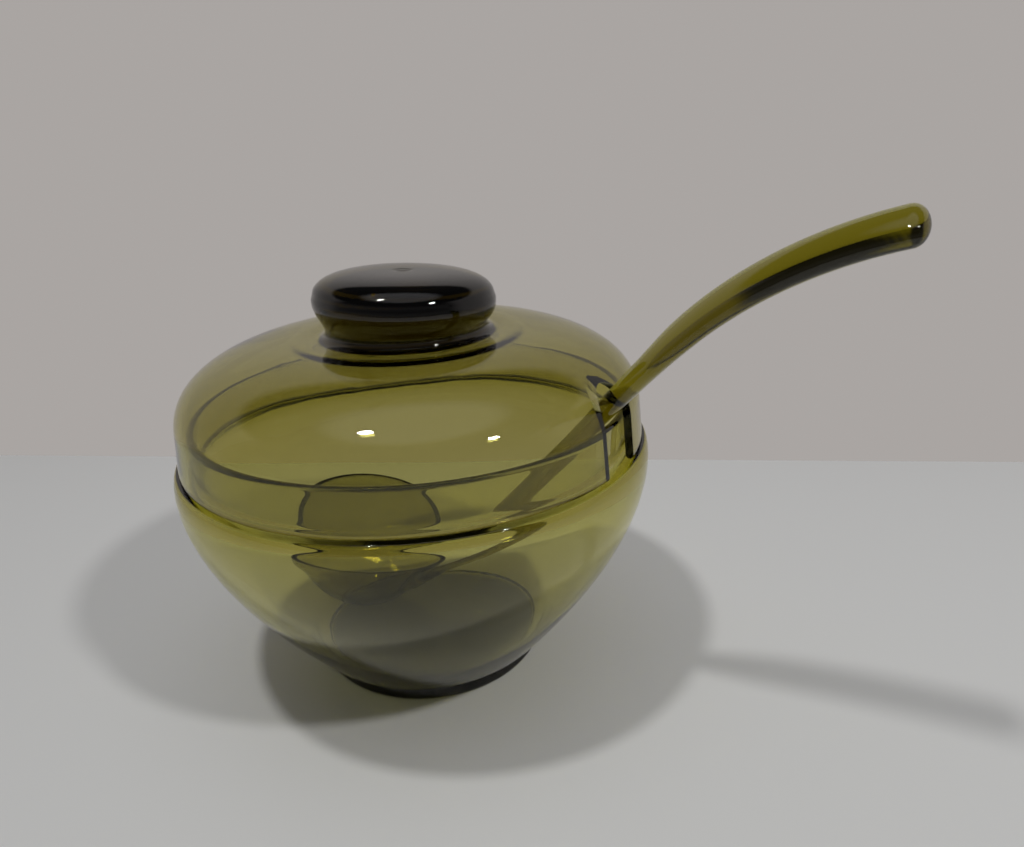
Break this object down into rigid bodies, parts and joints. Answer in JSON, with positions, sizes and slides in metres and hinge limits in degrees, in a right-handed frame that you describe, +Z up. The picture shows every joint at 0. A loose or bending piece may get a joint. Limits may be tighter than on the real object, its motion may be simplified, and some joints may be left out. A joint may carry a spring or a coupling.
{
  "type": "covered punch bowl with ladle",
  "caption": "Round footed glass bowl with a domed, solid-knobbed lid that stands on a ledge, and a long-handled glass ladle through the lid's notch.",
  "frame": {"origin": "centre of the foot's flat underside, on the bowl's axis", "axes": "+Z up along the bowl's axis, +X towards the notch that the ladle's handle leans out of"},
  "size_m": [0.344, 0.24, 0.241],
  "materials": {
    "bowl_glass": "clear olive-tinted glass, fire-polished",
    "lid_glass": "clear olive-tinted glass, fire-polished",
    "ladle_glass": "clear olive-tinted glass, fire-polished"
  },
  "bodies": {
    "bowl": {"bowl_body": "bowl_glass", "bowl_foot": "bowl_glass"},
    "lid": {"lid": "lid_glass"},
    "ladle": {"ladle_cup": "ladle_glass", "ladle_handle": "ladle_glass"}
  },
  "joints": [
    {"name": "lid_lift", "type": "slide", "parent": "bowl", "child": "lid", "axis": [0, 0, 1], "range_m": [0, 0.2]},
    {"name": "ladle_rock", "type": "hinge", "parent": "bowl", "child": "ladle", "pos_m": [0.1079, 0, 0.1421], "axis": [0, 1, 0], "range_deg": [0, 22]}
  ]
}
